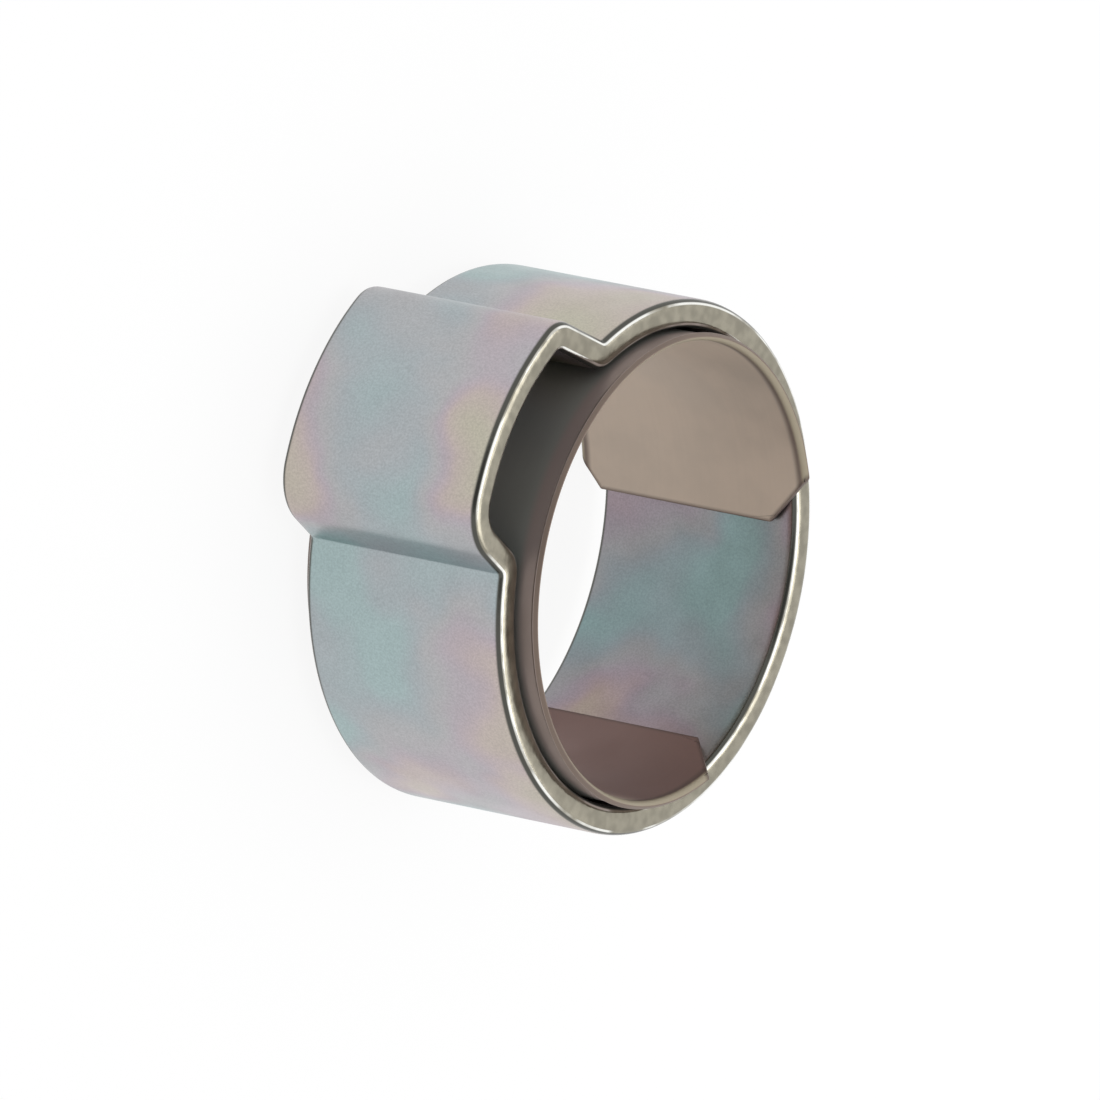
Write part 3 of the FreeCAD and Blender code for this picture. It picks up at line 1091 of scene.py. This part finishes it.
@dataclass
class PhotoCamera:
    """The camera: where the photograph was taken from, about the centre of the lower rim."""

    azimuth: float = 21.45
    elevation: float = 33.75
    roll: float = 101.214
    distance: float = 673.5
    shift_right: float = 2.9
    shift_up: float = -0.681
    rim_height: float = -4.0
    lens: float = 654.2
    sensor: float = 36.0
    nearest: float = 0.01
    farthest: float = 10.0

    @property
    def towards(self) -> Vector:
        """Direction from the clamp to the camera."""
        level = math.cos(math.radians(self.elevation))
        flat = polar(1.0, self.azimuth) / MM * level
        return flat + Z_AXIS * math.sin(math.radians(self.elevation))

    def build(self) -> bpy.types.Object:
        """Set up the camera and make it the scene's own.

        Returns:
            The camera.
        """
        back = self.towards
        level_right = Z_AXIS.cross(back).normalized()
        level_up = back.cross(level_right)
        turn = math.radians(self.roll)
        right = level_right * math.cos(turn) + level_up * math.sin(turn)
        up = back.cross(right)
        stand = right * self.shift_right + up * self.shift_up + back * self.distance
        place = (stand + Z_AXIS * self.rim_height) * MM
        data = bpy.data.cameras.new("photo_camera")
        data.lens = self.lens
        data.sensor_width = self.sensor
        data.clip_start = self.nearest
        data.clip_end = self.farthest
        camera = bpy.data.objects.new("photo_camera", data)
        bpy.context.scene.collection.objects.link(camera)
        axes = Matrix((right, up, back)).transposed().to_4x4()
        camera.matrix_world = Matrix.Translation(place) @ axes
        bpy.context.scene.camera = camera
        return camera


@dataclass
class Studio:
    """White surroundings, a pale floor, a dark patch round the lens and one strip light."""

    floor_height: float = -4.723
    floor_size: float = 4000.0
    floor_colour: Colour = (0.9, 0.9, 0.9, 1.0)
    floor_glow: float = 0.9
    floor_glow_in_metal: float = 0.9
    sky: Colour = (1.0, 1.0, 1.0, 1.0)
    lens_shade: Colour = (0.3, 0.3, 0.3, 1.0)
    shade_edge: tuple[float, float] = (30.0, 14.0)
    strip_azimuth: float = 201.4
    strip_elevation: float = 64.0
    strip_distance: float = 300.0
    strip_width: float = 170.0
    strip_length: float = 240.0
    strip_power: float = 0.24

    def lay_floor(self) -> bpy.types.Object:
        """Lay the floor: white to the eye and in the metal, and shaded by the clamp.

        Returns:
            The floor.
        """
        bpy.ops.object.select_all(action="DESELECT")
        bpy.ops.mesh.primitive_plane_add(size=self.floor_size * MM, location=(0, 0, self.floor_height * MM))
        floor = bpy.context.object
        floor.name = "studio_floor"
        bpy.ops.object.transform_apply(location=True, rotation=True, scale=True)
        made = bpy.data.materials.new("studio_floor")
        made.use_nodes = True
        graph = Graph(made.node_tree)
        path = graph.add("ShaderNodeLightPath")
        seen, through = (path.outputs[name] for name in ("Is Camera Ray", "Is Transmission Ray"))
        direct = graph.calculate("MULTIPLY", graph.calculate("MAXIMUM", seen, through), self.floor_glow)
        mirrored = graph.calculate("MULTIPLY", path.outputs["Is Glossy Ray"], self.floor_glow_in_metal)
        matt = graph.add("ShaderNodeBsdfDiffuse")
        matt.inputs["Color"].default_value = self.floor_colour
        glow = graph.add("ShaderNodeEmission")
        glow.inputs["Color"].default_value = self.sky
        mixed = graph.add("ShaderNodeMixShader")
        graph.feed(mixed.inputs["Fac"], graph.calculate("MAXIMUM", direct, mirrored))
        graph.feed(mixed.inputs[1], matt.outputs["BSDF"])
        graph.feed(mixed.inputs[2], glow.outputs["Emission"])
        output = graph.add("ShaderNodeOutputMaterial")
        graph.feed(output.inputs["Surface"], mixed.outputs["Shader"])
        floor.data.materials.append(made)
        return floor

    def hang_sky(self, lens_direction: Vector) -> bpy.types.World:
        """Surround the clamp with white, darker softly round the direction of the lens.

        Args:
            lens_direction: Direction from the clamp to the camera.

        Returns:
            The world.
        """
        world = bpy.data.worlds.new("studio_white")
        world.use_nodes = True
        graph = Graph(world.node_tree)
        direction = graph.add("ShaderNodeTexCoord").outputs["Generated"]
        facing = graph.add("ShaderNodeVectorMath", operation="DOT_PRODUCT")
        graph.feed(facing.inputs[0], direction)
        facing.inputs[1].default_value = lens_direction
        outer, inner = (math.cos(math.radians(edge)) for edge in self.shade_edge)
        shade = graph.ranged(facing.outputs["Value"], outer, inner)
        background = graph.add("ShaderNodeBackground")
        graph.feed(background.inputs["Color"], graph.blend(shade, self.sky, self.lens_shade))
        output = graph.add("ShaderNodeOutputWorld")
        graph.feed(output.inputs["Surface"], background.outputs["Background"])
        bpy.context.scene.world = world
        return world

    def hang_strip_light(self) -> bpy.types.Object:
        """Hang the strip light that draws the bright line along the rims.

        Returns:
            The lamp.
        """
        data = bpy.data.lights.new("strip_light", "AREA")
        data.shape = "RECTANGLE"
        data.size = self.strip_length * MM
        data.size_y = self.strip_width * MM
        data.energy = self.strip_power
        lamp = bpy.data.objects.new("strip_light", data)
        bpy.context.scene.collection.objects.link(lamp)
        level = math.cos(math.radians(self.strip_elevation))
        flat = polar(1.0, self.strip_azimuth) / MM * level
        away = flat + Z_AXIS * math.sin(math.radians(self.strip_elevation))
        lamp.rotation_mode = "QUATERNION"
        lamp.rotation_quaternion = (-away).to_track_quat("-Z", "Y")
        lamp.location = away * self.strip_distance * MM
        return lamp

    def build(self, lens_direction: Vector) -> None:
        """Set up the floor, the surroundings and the light.

        Args:
            lens_direction: Direction from the clamp to the camera.
        """
        self.lay_floor()
        self.hang_sky(lens_direction)
        self.hang_strip_light()
        bpy.context.scene.view_settings.view_transform = "Standard"


def attach(piece: bpy.types.Object, node: str) -> None:
    """Let a finished piece stand for its CAD solid.

    Args:
        piece: The piece.
        node: Name of the CAD node that it replaces.
    """
    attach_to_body(piece, "root")
    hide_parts(node)
    faces = len(piece.data.polygons)
    LOG.info("%s stands for %s with %d faces", piece.name, node, faces)


def main() -> None:
    """Build the clamp, its studio and its camera, and note the sizes."""
    logging.basicConfig(level=logging.INFO, format="%(name)s: %(message)s")
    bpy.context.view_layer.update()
    ring = ClampRing()
    attach(ring.build(), "clamp_ring")
    liner = InnerLiner()
    attach(liner.build(), "inner_liner")
    camera = PhotoCamera()
    camera.build()
    LOG.info("camera set at azimuth %.1f, elevation %.1f", camera.azimuth, camera.elevation)
    Studio().build(camera.towards)
    LOG.info("studio floor, surroundings and strip light set")


if __name__ == "__main__":
    main()
